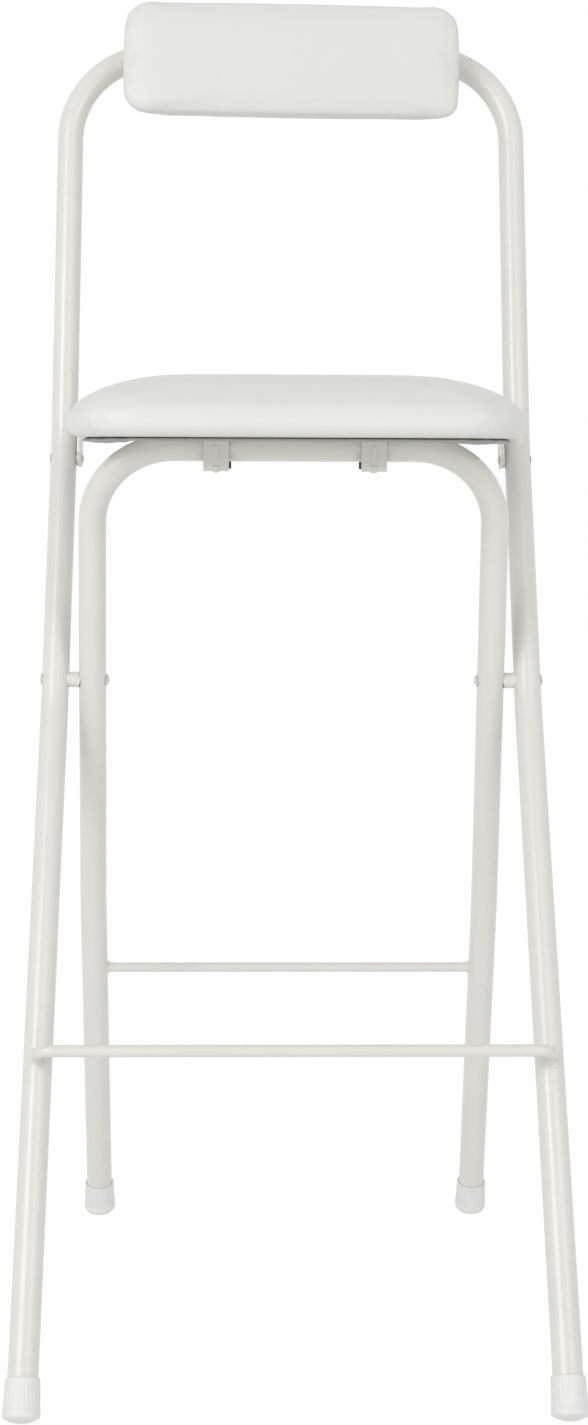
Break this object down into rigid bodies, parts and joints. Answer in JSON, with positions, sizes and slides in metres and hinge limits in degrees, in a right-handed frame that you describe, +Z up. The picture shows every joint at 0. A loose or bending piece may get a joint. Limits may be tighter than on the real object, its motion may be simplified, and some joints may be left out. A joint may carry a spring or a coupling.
{
  "type": "folding bar stool",
  "caption": "Folding bar stool: a bent tube back frame with footrest, a crossing leg frame, a hinged padded seat and a small padded backrest.",
  "frame": {"origin": "on the floor, in the middle of the open stool's width and length", "axes": "+Z up, -Y the front of the stool, +X to the right seen from the front"},
  "size_m": [0.4108, 0.4572, 1.0643],
  "materials": {
    "frame_paint": "semi-gloss powder coat",
    "rivet_paint": "semi-gloss",
    "bracket_paint": "semi-gloss powder coat",
    "vinyl": "satin padded vinyl",
    "foam": "matt foam",
    "plywood": "sanded",
    "foot_plastic": "satin moulded",
    "spacer_plastic": "satin",
    "zinc_steel": "bright zinc"
  },
  "bodies": {
    "back_frame": {"back_frame_tube": "frame_paint", "footrest_rod": "frame_paint", "front_left_foot_cap": "foot_plastic", "front_right_foot_cap": "foot_plastic", "backrest_board": "plywood", "backrest_foam": "foam", "backrest_cover": "vinyl", "backrest_bolts": "zinc_steel", "backrest_tee_nuts": "zinc_steel", "left_pivot_rivet": "rivet_paint", "right_pivot_rivet": "rivet_paint", "left_pivot_spacer": "spacer_plastic", "right_pivot_spacer": "spacer_plastic", "left_seat_rivet": "rivet_paint", "right_seat_rivet": "rivet_paint", "left_seat_washer": "spacer_plastic", "right_seat_washer": "spacer_plastic"},
    "leg_frame": {"leg_frame_tube": "frame_paint", "rear_cross_rod": "frame_paint", "rear_left_foot_cap": "foot_plastic", "rear_right_foot_cap": "foot_plastic"},
    "seat": {"seat_board": "plywood", "seat_foam": "foam", "seat_cover": "vinyl", "left_seat_bracket": "bracket_paint", "right_seat_bracket": "bracket_paint", "left_crossbar_clip": "bracket_paint", "right_crossbar_clip": "bracket_paint", "bracket_screws": "zinc_steel", "clip_screws": "zinc_steel"}
  },
  "joints": [
    {"name": "leg_fold", "type": "hinge", "parent": "back_frame", "child": "leg_frame", "pos_m": [0, 0.04168, 0.492], "axis": [-1, 0, 0], "range_deg": [0, 42]},
    {"name": "seat_flip", "type": "hinge", "parent": "back_frame", "child": "seat", "pos_m": [0, 0.11302, 0.67036], "axis": [-1, 0, 0], "range_deg": [0, 105]}
  ],
  "couplings": [
    {"joint": "seat_flip", "follows": "leg_fold", "ratio": 2.5}
  ]
}
